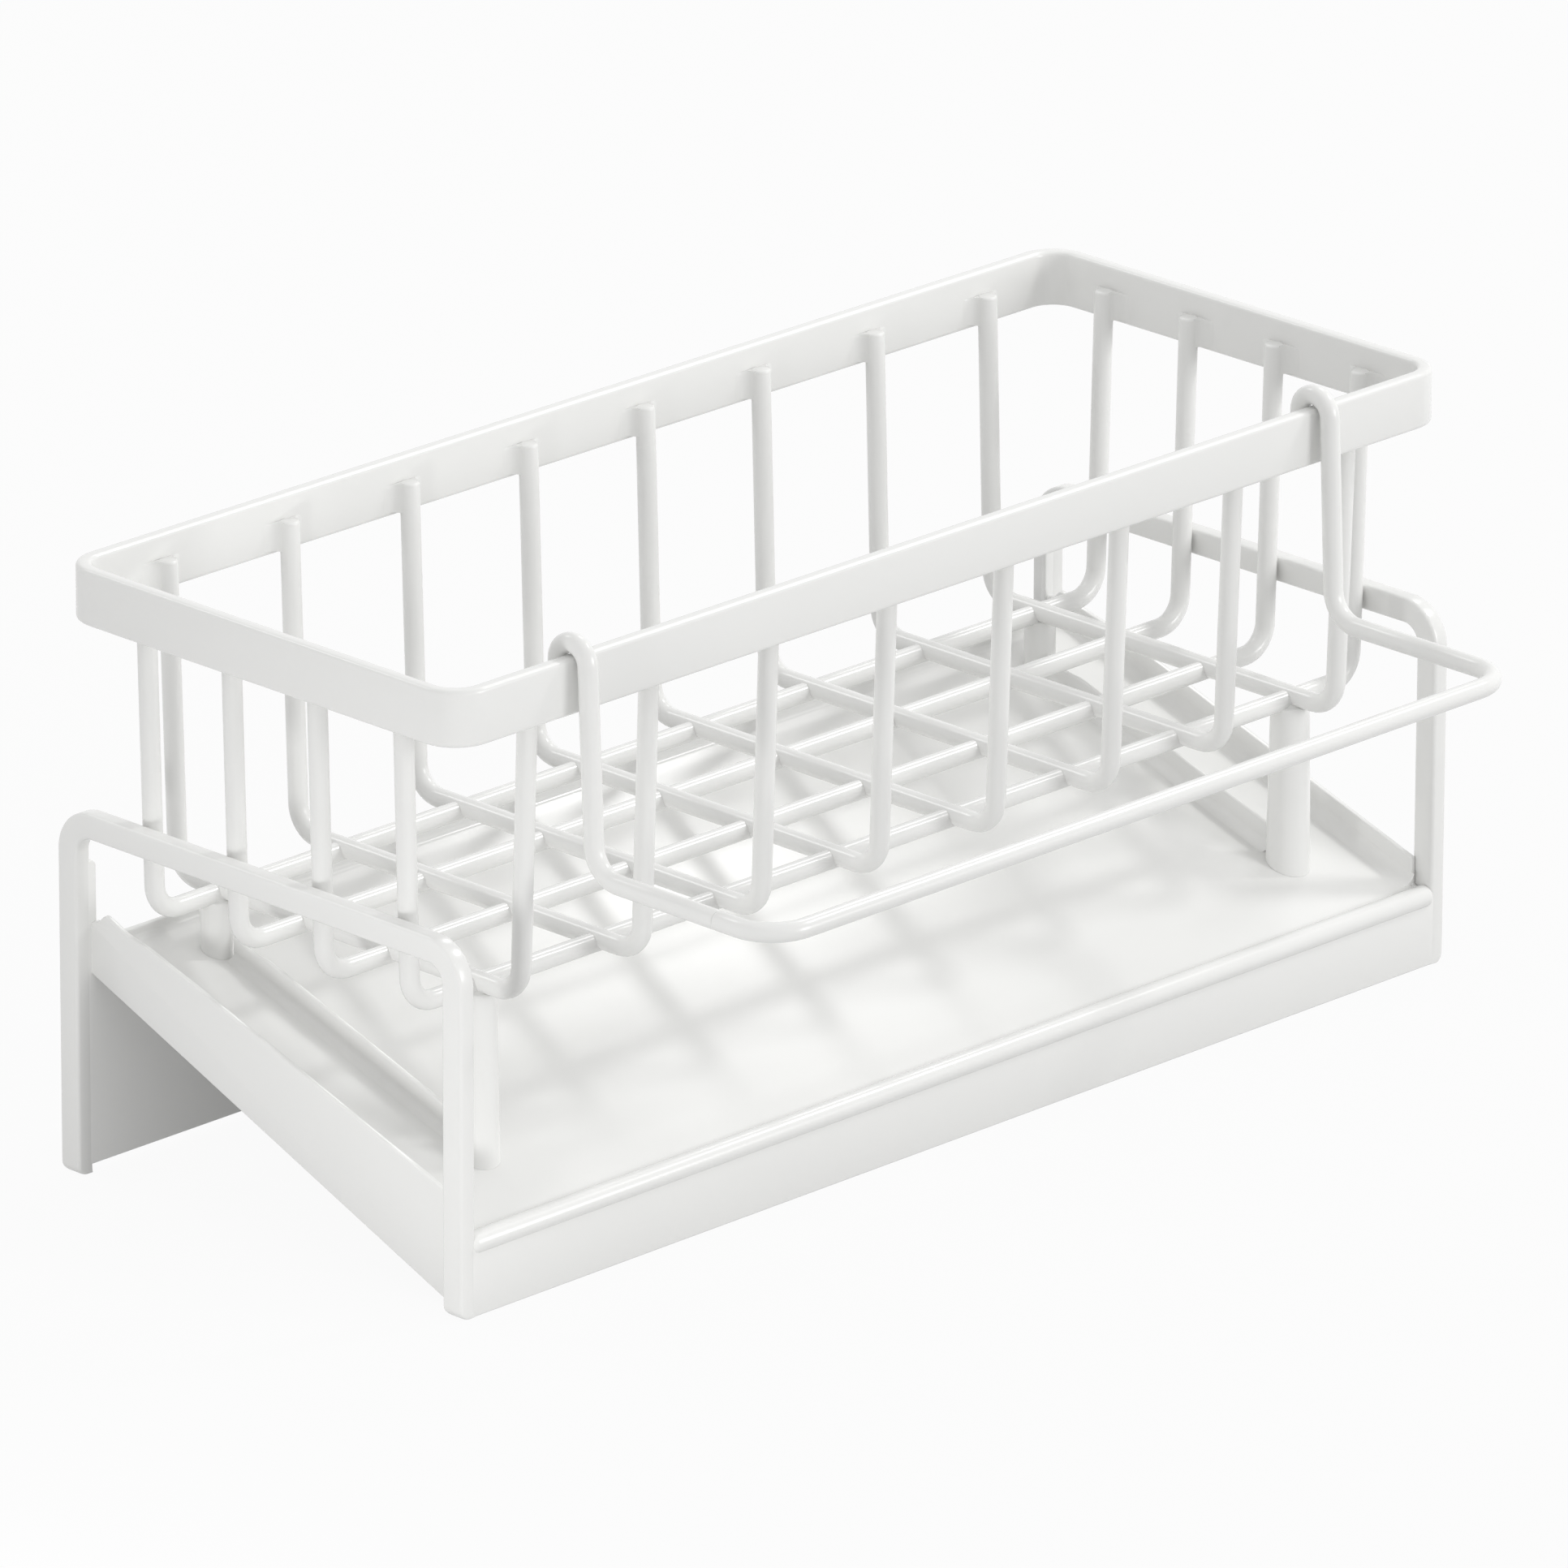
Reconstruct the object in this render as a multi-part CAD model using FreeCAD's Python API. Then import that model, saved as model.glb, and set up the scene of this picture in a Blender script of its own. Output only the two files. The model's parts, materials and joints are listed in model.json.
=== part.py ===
"""Kitchen sink caddy: a wire basket with a hooked towel rail, on a stand with a sloping drip tray."""
import FreeCAD, Part
import math
import os

# Lengths are in millimetres and angles in degrees. X runs along the caddy, Y from its front to
# its rear and Z up from the counter. The model is drawn about the middle of the basket's rim and
# written out about the middle of the whole caddy, rail included, with the counter at Z = 0.

# Rim: flat band bent to a rounded rectangle
RIM_LENGTH = 250.0
RIM_DEPTH = 99.0
RIM_CORNER_RADIUS = 7.5
BAND_HEIGHT = 10.4
BAND_THICKNESS = 2.8
BAND_EDGE_RADIUS = 0.8

# Basket wires: U shapes welded to the inside of the rim, crossing in a grid
BASKET_HEIGHT = 62.6  # centre line of the long wires' grid to the top of the rim
WIRE_DIAMETER = 3.6
WIRE_BEND_RADIUS = 5.5
WIRE_END_DROP = 4.1  # top of the rim down to the cut ends of the wires
CROSS_WIRE_COUNT = 8
CROSS_WIRE_INSET = 22.0  # end of the rim to the first cross wire
CROSS_WIRE_LEAN = 1.9  # how far each side of a cross wire draws in from rim to grid
LONG_WIRE_COUNT = 4
LONG_WIRE_INSET = 17.5
LONG_WIRE_LEAN = 1.5
CROSSING_STEP = 0.7  # how much lower the long wires lie, let into the cross wires
WELD_REACH = 4.3  # wire's centre line to the toe of its weld on the band
WELD_HOLLOW = 0.35  # how far the flank of a weld is drawn in

# Posts under the four outer crossings
FRONT_POST_DIAMETER = 8.2  # at the foot
FRONT_POST_TOP_DIAMETER = 7.1
REAR_POST_DIAMETER = 5.9
REAR_POST_LENGTH = 9.55
REAR_POST_OFFSET = 1.2  # outwards from the crossing above it
POST_SADDLE_DEPTH = 0.85  # how deep the wire lies in the top of its post
SEAT_CLEARANCE = 0.15  # between the posts and the tray floor

# Towel rail: round rod hooked over the front of the rim
RAIL_DIAMETER = 3.6
RAIL_REACH = 46.9  # front of the rim to the centre line of the bar
RAIL_DROP = 39.2  # top of the rim down to the centre lines of the arms
RAIL_LEAN = 1.9  # how far the drops lean forward on their way down
RAIL_BEND_RADIUS = 6.0
RAIL_CORNER_RADIUS = 8.0
RAIL_SHIFT = -2.2  # the rail hangs slightly left of the middle
HOOK_INSET = 9.8  # outer cross wires to the hooks, with the rail in the middle
HOOK_TAIL = 8.0  # top of the rim down to the free end of a hook
HOOK_CLEARANCE = 0.35
HOOK_TOP_CLEARANCE = 0.7
SEAM_SETBACK = 13.0  # centre line of the bar to the butt joint in the left arm

# End frames: flat bar bent to an upside-down U
FRAME_HEIGHT = 68.9
FRAME_CORNER_RADIUS = 8.2
BAR_WIDTH = 4.8
BAR_THICKNESS = 3.5
BAR_EDGE_RADIUS = 0.7
FOOT_RADIUS = 1.5
STAND_MARGIN = 1.1  # how far the stand reaches past the rim at front and rear
BASKET_CLEARANCE = 0.3  # end frames to the long wires

# Drip tray: sheet floor, side walls, front apron and rear panel between the frames
SHEET_THICKNESS = 1.2
TRAY_ANGLE = 18.4
FLOOR_FRONT_HEIGHT = 13.9  # top of the floor where it meets the apron
LIP_HEIGHT = 2.2
LIP_SETBACK = 5.4  # rear panel to the front of the floor's rear lip
WALL_HEIGHT = 5.2  # tops of the side walls above the floor
WALL_CORNER_RADIUS = 3.0
SKIRT_REAR_DEPTH = 8.2  # floor down to the bottom of a side wall, at the rear
SKIRT_FLAT = 6.8  # level stretch of a side wall's bottom edge, at the front
SKIRT_LIFT = 1.2  # side walls above the counter
BEAD_DIAMETER = 4.2
BEAD_PROUD = 0.6  # how far the apron's bead stands out in front
BEAD_RISE = 1.35  # top of the bead above the floor
BEAD_OVERLAP = 0.8  # how far the bead reaches onto each front leg
PANEL_LIFT = 1.5
PANEL_DROP = 1.7  # rear edge of the floor down to the top of the rear panel
EAR_WIDTH = 1.4
EAR_DROP = 10.4  # top of a frame down to the top of an ear
EAR_RADIUS = 1.25

# Locating fins: low sheets on the floor between the posts
FIN_HEIGHT = 4.9
FIN_THICKNESS = 1.0
FIN_CLEARANCE = 0.4

OVERRUN = 5.0  # how far a cutting shape runs past what it cuts
LEAST_RUN = 0.001  # straight runs of a rod shorter than this are left out

# Places that several pieces share
rise = math.tan(math.radians(TRAY_ANGLE))
wire_radius = WIRE_DIAMETER / 2
rail_radius = RAIL_DIAMETER / 2
stand_front = -RIM_DEPTH / 2 - STAND_MARGIN
stand_rear = -stand_front
apron_rear = stand_front + SHEET_THICKNESS
panel_front = stand_rear - BAR_WIDTH
lip_front = panel_front - LIP_SETBACK


def floor_height(y):
    """Height of the tray floor's top face."""
    return FLOOR_FRONT_HEIGHT + (y - apron_rear) * rise


outer_cross = RIM_LENGTH / 2 - CROSS_WIRE_INSET
outer_long = RIM_DEPTH / 2 - LONG_WIRE_INSET
post_top = floor_height(outer_long) + SEAT_CLEARANCE + REAR_POST_LENGTH
rear_post = outer_cross + REAR_POST_OFFSET
long_level = post_top - POST_SADDLE_DEPTH + wire_radius
cross_level = long_level + CROSSING_STEP
rim_top = long_level + BASKET_HEIGHT
rim_bottom = rim_top - BAND_HEIGHT
wire_end = rim_top - WIRE_END_DROP

# The long wires lean outwards on their way up, so the frames clear them at the frames' top
long_top = RIM_LENGTH / 2 - BAND_THICKNESS - wire_radius
lean_left = LONG_WIRE_LEAN * (wire_end - FRAME_HEIGHT) / (wire_end - long_level)
frame_inner = long_top - lean_left + wire_radius + BASKET_CLEARANCE
wall_inner = frame_inner - SHEET_THICKNESS  # the side walls lie against the frames


def vector(x, y, z):
    return FreeCAD.Vector(x, y, z)


def rod(points, radii, diameter):
    """Round rod along straight runs, with a tangent arc at each inner point."""
    edges = []
    start = points[0]
    for before, corner, after, radius in zip(points, points[1:], points[2:], radii):
        back = (before - corner).normalize()
        onward = (after - corner).normalize()
        half_turn = (math.pi - back.getAngle(onward)) / 2
        reach = radius * math.tan(half_turn)
        bow = radius / math.cos(half_turn) - radius
        arc_start = corner + back * reach
        arc_middle = corner + (back + onward).normalize() * bow
        arc_end = corner + onward * reach
        if start.distanceToPoint(arc_start) > LEAST_RUN:
            edges.append(Part.LineSegment(start, arc_start).toShape())
        edges.append(Part.Arc(arc_start, arc_middle, arc_end).toShape())
        start = arc_end
    edges.append(Part.LineSegment(start, points[-1]).toShape())
    section = Part.Wire(Part.makeCircle(diameter / 2, points[0], points[1] - points[0]))
    return Part.Wire(edges).makePipe(Part.Face(section))


def prism(corners, sweep):
    """Straight solid swept from a flat outline."""
    return Part.Face(Part.makePolygon(corners + corners[:1])).extrude(sweep)


def side_prism(outline, x_low, x_high):
    """Sheet between two X values, from an outline of (y, z) points."""
    return prism([vector(x_low, y, z) for y, z in outline], vector(x_high - x_low, 0, 0))


def edges_along(shape, direction):
    """Straight edges that run along a direction."""
    lines = [edge for edge in shape.Edges if isinstance(edge.Curve, Part.Line)]
    return [edge for edge in lines if edge.Curve.Direction.cross(direction).Length < LEAST_RUN]


def edges_near(edges, y, z):
    """Those edges along X that pass through (y, z)."""
    return [edge for edge in edges
            if edge.CenterOfMass.distanceToPoint(vector(edge.CenterOfMass.x, y, z)) < LEAST_RUN]


def rounded_block(length, depth, z_low, z_high, radius):
    """Block about the Z axis with rounded upright edges."""
    block = Part.makeBox(length, depth, z_high - z_low, vector(-length / 2, -depth / 2, z_low))
    return block.makeFillet(radius, edges_along(block, vector(0, 0, 1)))


def make_rim():
    """Band of the rim, its upper and lower edges rounded."""
    outer = rounded_block(RIM_LENGTH, RIM_DEPTH, rim_bottom, rim_top, RIM_CORNER_RADIUS)
    inner = rounded_block(RIM_LENGTH - 2 * BAND_THICKNESS, RIM_DEPTH - 2 * BAND_THICKNESS,
                          rim_bottom - OVERRUN, rim_top + OVERRUN,
                          RIM_CORNER_RADIUS - BAND_THICKNESS)
    band = outer.cut(inner)
    level_edges = [edge for edge in band.Edges if edge.BoundBox.ZLength < LEAST_RUN]
    return band.makeFillet(BAND_EDGE_RADIUS, level_edges)


def weld_toe(foot, inward):
    """Hollow weld that fills the corners between the band's inner face and a wire."""
    along = inward.cross(vector(0, 0, 1))
    outline = []
    crests = []
    for way in (along, along * -1):
        toe = foot + way * WELD_REACH
        crest = foot + (way + inward) * wire_radius
        corner = foot + way * wire_radius
        chord_middle = (toe + crest) * 0.5
        hollow = chord_middle + (corner - chord_middle).normalize() * WELD_HOLLOW
        outline.append(Part.Arc(toe, hollow, crest).toShape())
        crests += [toe, crest]
    outline.append(Part.LineSegment(crests[0], crests[2]).toShape())
    outline.append(Part.LineSegment(crests[1], crests[3]).toShape())
    section = Part.Wire(Part.__sortEdges__(outline))
    return Part.Face(section).extrude(vector(0, 0, wire_end - foot.z))


def basket_wire(along, offset, band_face, lean, level, rim):
    """U-shaped wire from one side of the rim to the other, with its welds."""
    top = band_face - wire_radius
    low = top - lean
    points = [offset - along * top + vector(0, 0, wire_end),
              offset - along * low + vector(0, 0, level),
              offset + along * low + vector(0, 0, level),
              offset + along * top + vector(0, 0, wire_end)]
    wire = rod(points, [WIRE_BEND_RADIUS, WIRE_BEND_RADIUS], WIRE_DIAMETER)
    weld_foot = offset + vector(0, 0, rim_bottom + BAND_EDGE_RADIUS)
    toes = [weld_toe(weld_foot - along * band_face, along),
            weld_toe(weld_foot + along * band_face, along * -1)]
    return wire.fuse(toes).cut(rim)


def spread(outer, count):
    """Evenly spaced places from -outer to +outer."""
    return [outer * (2 * index / (count - 1) - 1) for index in range(count)]


def make_cross_wires(rim):
    """Wires from the front of the rim to its rear, left to right."""
    band_face = RIM_DEPTH / 2 - BAND_THICKNESS
    return [basket_wire(vector(0, 1, 0), vector(x, 0, 0), band_face, CROSS_WIRE_LEAN, cross_level, rim)
            for x in spread(outer_cross, CROSS_WIRE_COUNT)]


def make_long_wires(rim, cross_wires):
    """Wires from the left of the rim to its right, front to rear, let into the cross wires."""
    band_face = RIM_LENGTH / 2 - BAND_THICKNESS
    wires = [basket_wire(vector(1, 0, 0), vector(0, y, 0), band_face, LONG_WIRE_LEAN, long_level, rim)
             for y in spread(outer_long, LONG_WIRE_COUNT)]
    return [wire.cut(cross_wires) for wire in wires]


def make_post(x, y, diameter, top_diameter, wires):
    """Round post under a crossing, wider at its foot, which is cut to the slope of the floor."""
    foot = floor_height(y) + SEAT_CLEARANCE
    low = foot - diameter  # below the floor, so that the cut is clean
    low_diameter = diameter + (diameter - top_diameter) * (foot - low) / (post_top - foot)
    profile = [vector(x, y, low), vector(x + low_diameter / 2, y, low),
               vector(x + top_diameter / 2, y, post_top), vector(x, y, post_top)]
    face = Part.Face(Part.makePolygon(profile + profile[:1]))
    post = face.revolve(vector(x, y, 0), vector(0, 0, 1), 360)
    front = y - diameter
    rear = y + diameter
    below = [(front, -OVERRUN), (front, floor_height(front) + SEAT_CLEARANCE),
             (rear, floor_height(rear) + SEAT_CLEARANCE), (rear, -OVERRUN)]
    return post.cut([side_prism(below, x - diameter, x + diameter)] + wires)


def make_rail():
    """Towel rail in two lengths, the left hook and the bar, with a butt joint in the left arm."""
    tail_end = rim_top - HOOK_TAIL
    apex = rim_top + rail_radius + HOOK_TOP_CLEARANCE
    arm = rim_top - RAIL_DROP
    y_tail = -RIM_DEPTH / 2 + BAND_THICKNESS + HOOK_CLEARANCE + rail_radius
    y_drop = -RIM_DEPTH / 2 - HOOK_CLEARANCE - rail_radius
    y_arm = y_drop - RAIL_LEAN
    y_bar = -RIM_DEPTH / 2 - RAIL_REACH
    tail_radius = (y_tail - y_drop) / 2
    lean = math.atan2(RAIL_LEAN, apex - arm)
    drop_radius = tail_radius / math.tan(math.pi / 4 - lean / 2)
    hook_radii = [tail_radius, drop_radius, RAIL_BEND_RADIUS]

    def hook(x):
        return [vector(x, y_tail, tail_end), vector(x, y_tail, apex),
                vector(x, y_drop, apex), vector(x, y_arm, arm)]

    left = RAIL_SHIFT - outer_cross + HOOK_INSET
    right = RAIL_SHIFT + outer_cross - HOOK_INSET
    seam = vector(left, y_bar + SEAM_SETBACK, arm)
    corners = [vector(left, y_bar, arm), vector(right, y_bar, arm)]
    left_hook = rod(hook(left) + [seam], hook_radii, RAIL_DIAMETER)
    bar_radii = [RAIL_CORNER_RADIUS, RAIL_CORNER_RADIUS] + hook_radii[::-1]
    bar = rod([seam] + corners + hook(right)[::-1], bar_radii, RAIL_DIAMETER)
    return left_hook, bar


def make_frame(side):
    """End frame on the left (-1) or the right (1)."""
    depth = stand_rear - stand_front
    window_depth = depth - 2 * BAR_WIDTH
    x_inner = side * frame_inner
    x_outer = x_inner + side * BAR_THICKNESS
    x_low = min(x_inner, x_outer)
    across = vector(1, 0, 0)

    block = Part.makeBox(BAR_THICKNESS, depth, FRAME_HEIGHT, vector(x_low, stand_front, 0))
    crown = [edge for edge in edges_along(block, across) if edge.CenterOfMass.z > FRAME_HEIGHT / 2]
    block = block.makeFillet(FRAME_CORNER_RADIUS, crown)

    window_top = FRAME_HEIGHT - BAR_WIDTH
    window = Part.makeBox(BAR_THICKNESS + 2 * OVERRUN, window_depth, window_top + OVERRUN,
                          vector(x_low - OVERRUN, stand_front + BAR_WIDTH, -OVERRUN))
    crown = [edge for edge in edges_along(window, across) if edge.CenterOfMass.z > window_top / 2]
    window = window.makeFillet(FRAME_CORNER_RADIUS - BAR_WIDTH, crown)

    bar = block.cut(window)
    feet = [edge for edge in edges_along(bar, across) if edge.CenterOfMass.z < LEAST_RUN]
    bar = bar.makeFillet(FOOT_RADIUS, feet)
    outline = [edge for edge in bar.Edges
               if edge.BoundBox.XLength < LEAST_RUN and abs(edge.CenterOfMass.x - x_outer) < LEAST_RUN]
    return bar.makeFillet(BAR_EDGE_RADIUS, outline)


def make_apron(frames):
    """Upright front sheet with a rolled bead along its top."""
    bead_radius = BEAD_DIAMETER / 2
    bead_level = FLOOR_FRONT_HEIGHT + BEAD_RISE - bead_radius
    sheet = Part.makeBox(2 * frame_inner, SHEET_THICKNESS, bead_level,
                         vector(-frame_inner, stand_front, 0))
    bead_end = frame_inner + BEAD_OVERLAP
    bead = Part.makeCylinder(bead_radius, 2 * bead_end,
                             vector(-bead_end, stand_front - BEAD_PROUD + bead_radius, bead_level),
                             vector(1, 0, 0))
    return sheet.fuse(bead.cut(frames))


def make_floor(apron):
    """Sloping sheet with a low lip bent up at its rear."""
    lip_rear = lip_front + SHEET_THICKNESS
    sheet_drop = SHEET_THICKNESS / math.cos(math.radians(TRAY_ANGLE))
    lip_top = floor_height(lip_front) + LIP_HEIGHT
    outline = [(apron_rear, floor_height(apron_rear)), (lip_front, floor_height(lip_front)),
               (lip_front, lip_top), (lip_rear, lip_top),
               (lip_rear, floor_height(lip_rear) - sheet_drop),
               (apron_rear, floor_height(apron_rear) - sheet_drop)]
    return side_prism(outline, -wall_inner, wall_inner).cut(apron)


def make_wall(side, apron):
    """Side wall of the tray, also a skirt below the floor."""
    top_rear = floor_height(panel_front) + WALL_HEIGHT
    top_front = floor_height(apron_rear) + WALL_HEIGHT
    outline = [(apron_rear, SKIRT_LIFT), (apron_rear + SKIRT_FLAT, SKIRT_LIFT),
               (panel_front, floor_height(panel_front) - SKIRT_REAR_DEPTH),
               (panel_front, top_rear), (apron_rear, top_front)]
    x_low, x_high = sorted((side * wall_inner, side * frame_inner))
    wall = side_prism(outline, x_low, x_high)
    rear_corner = edges_near(edges_along(wall, vector(1, 0, 0)), panel_front, top_rear)
    return wall.makeFillet(WALL_CORNER_RADIUS, rear_corner).cut(apron)


def make_panel():
    """Upright rear sheet with an ear along each rear leg."""
    top = floor_height(lip_front) - PANEL_DROP
    ear_top = FRAME_HEIGHT - EAR_DROP
    notch = frame_inner - EAR_WIDTH
    outline = [(-frame_inner, PANEL_LIFT), (frame_inner, PANEL_LIFT), (frame_inner, ear_top),
               (notch, ear_top), (notch, top), (-notch, top), (-notch, ear_top), (-frame_inner, ear_top)]
    panel = prism([vector(x, panel_front, z) for x, z in outline], vector(0, SHEET_THICKNESS, 0))
    shoulders = [edge for edge in edges_along(panel, vector(0, 1, 0))
                 if abs(abs(edge.CenterOfMass.x) - notch) < LEAST_RUN
                 and abs(edge.CenterOfMass.z - ear_top) < LEAST_RUN]
    return panel.makeFillet(EAR_RADIUS, shoulders)


def make_fin(side):
    """Low upright sheet that keeps two posts in line on the floor."""
    front = -outer_long + FRONT_POST_DIAMETER / 2 + FIN_CLEARANCE
    rear = outer_long - REAR_POST_DIAMETER / 2 - FIN_CLEARANCE
    outline = [(front, floor_height(front)), (rear, floor_height(rear)),
               (rear, floor_height(rear) + FIN_HEIGHT), (front, floor_height(front) + FIN_HEIGHT)]
    middle = side * outer_cross
    return side_prism(outline, middle - FIN_THICKNESS / 2, middle + FIN_THICKNESS / 2)


def make_pieces():
    """Every piece of the caddy by name."""
    left_frame, right_frame = make_frame(-1), make_frame(1)
    apron = make_apron([left_frame, right_frame])
    rim = make_rim()
    cross_wires = make_cross_wires(rim)
    long_wires = make_long_wires(rim, cross_wires)
    grid = cross_wires + long_wires
    left_hook, bar = make_rail()
    pieces = {
        "left_end_frame": left_frame,
        "right_end_frame": right_frame,
        "rear_panel": make_panel(),
        "tray_floor": make_floor(apron),
        "left_side_wall": make_wall(-1, apron),
        "right_side_wall": make_wall(1, apron),
        "front_apron": apron,
        "left_locating_fin": make_fin(-1),
        "right_locating_fin": make_fin(1),
        "rim_band": rim,
        "front_left_post": make_post(-outer_cross, -outer_long, FRONT_POST_DIAMETER,
                                     FRONT_POST_TOP_DIAMETER, grid),
        "front_right_post": make_post(outer_cross, -outer_long, FRONT_POST_DIAMETER,
                                      FRONT_POST_TOP_DIAMETER, grid),
        "rear_left_post": make_post(-rear_post, outer_long, REAR_POST_DIAMETER,
                                    REAR_POST_DIAMETER, grid),
        "rear_right_post": make_post(rear_post, outer_long, REAR_POST_DIAMETER,
                                     REAR_POST_DIAMETER, grid),
        "rail_left_hook": left_hook,
        "rail_bar": bar,
    }
    for number, wire in enumerate(cross_wires, start=1):
        pieces[f"cross_wire_{number}"] = wire
    for number, wire in enumerate(long_wires, start=1):
        pieces[f"long_wire_{number}"] = wire
    return pieces


os.makedirs("parts", exist_ok=True)
rail_front = -RIM_DEPTH / 2 - RAIL_REACH - rail_radius
middle = vector(0, -(rail_front + stand_rear) / 2, 0)
for name, piece in make_pieces().items():
    piece.translated(middle).exportStep(os.path.join("parts", name + ".step"))
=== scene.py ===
# %% [markdown]
# # Kitchen sink caddy
# A wire basket with a towel rail hooked on its rim stands in a drip tray between two bent bar
# frames. Everything is steel with a white powder coat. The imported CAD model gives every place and
# size. This script dresses it: rounder bars, welds, bent sheet edges and a real coat of paint.

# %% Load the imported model
import json
import math

import bmesh
import bpy
from mathutils import Matrix, Vector


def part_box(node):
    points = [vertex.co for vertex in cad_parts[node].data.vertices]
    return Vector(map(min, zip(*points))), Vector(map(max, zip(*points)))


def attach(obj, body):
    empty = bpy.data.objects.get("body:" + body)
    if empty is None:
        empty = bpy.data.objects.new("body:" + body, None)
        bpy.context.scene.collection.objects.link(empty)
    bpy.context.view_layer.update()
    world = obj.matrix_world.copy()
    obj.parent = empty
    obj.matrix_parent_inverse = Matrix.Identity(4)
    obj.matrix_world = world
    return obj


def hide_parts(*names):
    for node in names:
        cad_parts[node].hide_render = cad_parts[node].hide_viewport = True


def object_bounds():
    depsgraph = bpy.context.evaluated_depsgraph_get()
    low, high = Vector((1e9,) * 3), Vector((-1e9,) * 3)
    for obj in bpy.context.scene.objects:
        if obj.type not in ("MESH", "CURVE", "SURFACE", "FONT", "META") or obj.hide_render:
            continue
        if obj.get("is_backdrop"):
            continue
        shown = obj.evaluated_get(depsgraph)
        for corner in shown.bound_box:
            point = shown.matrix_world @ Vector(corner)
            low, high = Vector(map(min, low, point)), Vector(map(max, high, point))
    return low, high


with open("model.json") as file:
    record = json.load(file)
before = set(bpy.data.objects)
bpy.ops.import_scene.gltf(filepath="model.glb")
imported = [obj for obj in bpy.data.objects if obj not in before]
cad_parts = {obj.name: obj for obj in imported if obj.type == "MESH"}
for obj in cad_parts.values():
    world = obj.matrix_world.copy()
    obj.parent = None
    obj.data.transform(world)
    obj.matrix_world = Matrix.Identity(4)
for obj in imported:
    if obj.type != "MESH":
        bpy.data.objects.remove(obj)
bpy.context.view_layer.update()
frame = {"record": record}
MM = 0.001  # the script works in metres and names its sizes in millimetres

# %% [markdown]
# ## Camera
# The photograph was taken with a long lens from the front left, a little above the rim. A long
# lens keeps parallel edges almost parallel, so a camera three metres away fits it. The camera is
# placed by its turn about the caddy, its height angle and the point that it looks at.

# %% Camera
IMAGE_PIXELS = 1932  # the photograph is square
FOCAL_PIXELS = 21004
SENSOR = 36.0  # millimetres, Blender's usual sensor width
VIEW_TURN = math.radians(-45.372)
VIEW_HEIGHT = math.radians(20.196)
VIEW_ROLL = math.radians(-0.212)
VIEW_DISTANCE = 3057.06 * MM
AIM_RIGHT = 3.53 * MM  # where the camera looks, to the right of the stand's middle
AIM_UP = 50.091 * MM
CLIP_NEAR = 0.1  # metres
CLIP_FAR = 50.0


def add_object(name, data):
    """New object in the scene."""
    made = bpy.data.objects.new(name, data)
    bpy.context.scene.collection.objects.link(made)
    return made


frame_low, frame_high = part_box("left_end_frame")
stand_middle = Vector((0, (frame_low.y + frame_high.y) / 2, 0))
right = Vector((math.cos(VIEW_TURN), math.sin(VIEW_TURN), 0))
away = Vector((-math.sin(VIEW_TURN) * math.cos(VIEW_HEIGHT),
               math.cos(VIEW_TURN) * math.cos(VIEW_HEIGHT), -math.sin(VIEW_HEIGHT)))
up = right.cross(away)
aim = stand_middle + right * AIM_RIGHT + up * AIM_UP
across = right * math.cos(VIEW_ROLL) - up * math.sin(VIEW_ROLL)
upward = right * math.sin(VIEW_ROLL) + up * math.cos(VIEW_ROLL)

camera = add_object("camera", bpy.data.cameras.new("camera"))
camera.data.sensor_width = SENSOR
camera.data.lens = FOCAL_PIXELS / IMAGE_PIXELS * SENSOR
camera.data.clip_start = CLIP_NEAR
camera.data.clip_end = CLIP_FAR
turned = Matrix((across, upward, -away)).transposed().to_4x4()
camera.matrix_world = Matrix.Translation(aim - away * VIEW_DISTANCE) @ turned
bpy.context.scene.camera = camera
print("lens in mm:", round(camera.data.lens, 1))

# %% [markdown]
# ## Shader maths in Python
# A powder coat is described by sums of noise. Wiring such sums by hand hides them, so a small
# class stands for one socket and adds the Math nodes when Python adds, subtracts or multiplies.

# %% Shader sockets that can be added and multiplied
class Field:
    """One output socket of a node tree, usable in Python sums."""

    def __init__(self, tree, socket):
        self.tree = tree
        self.socket = socket

    def maths(self, operation, first, second):
        return Graph(self.tree).node("ShaderNodeMath", {"operation": operation}, {0: first, 1: second})

    def __add__(self, other):
        return self.maths("ADD", self, other)

    def __radd__(self, other):
        return self.maths("ADD", other, self)

    def __sub__(self, other):
        return self.maths("SUBTRACT", self, other)

    def __rsub__(self, other):
        return self.maths("SUBTRACT", other, self)

    def __mul__(self, other):
        return self.maths("MULTIPLY", self, other)

    def __rmul__(self, other):
        return self.maths("MULTIPLY", other, self)


class Graph:
    """A node tree with one way to add a node."""

    def __init__(self, tree):
        self.tree = tree

    def node(self, kind, settings=None, sockets=None, output=0):
        made = self.tree.nodes.new(kind)
        for name, value in (settings or {}).items():
            setattr(made, name, value)
        for name, value in (sockets or {}).items():
            if isinstance(value, Field):
                self.tree.links.new(value.socket, made.inputs[name])
            else:
                made.inputs[name].default_value = value
        return Field(self.tree, made.outputs[output]) if made.outputs else made


def empty_material(name):
    """A material whose node tree is still empty."""
    material = bpy.data.materials.new(name)
    material.use_nodes = True
    material.node_tree.nodes.clear()
    return material


# %% [markdown]
# ## White powder coat
# Powder coat is sprayed on dry and melted in an oven. It runs smooth but keeps a faint orange
# peel about a millimetre across, a finer grain in its gloss, and a tone that drifts a little from
# bar to bar. Three noises on Object coordinates give those, each at its own real scale.

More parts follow.
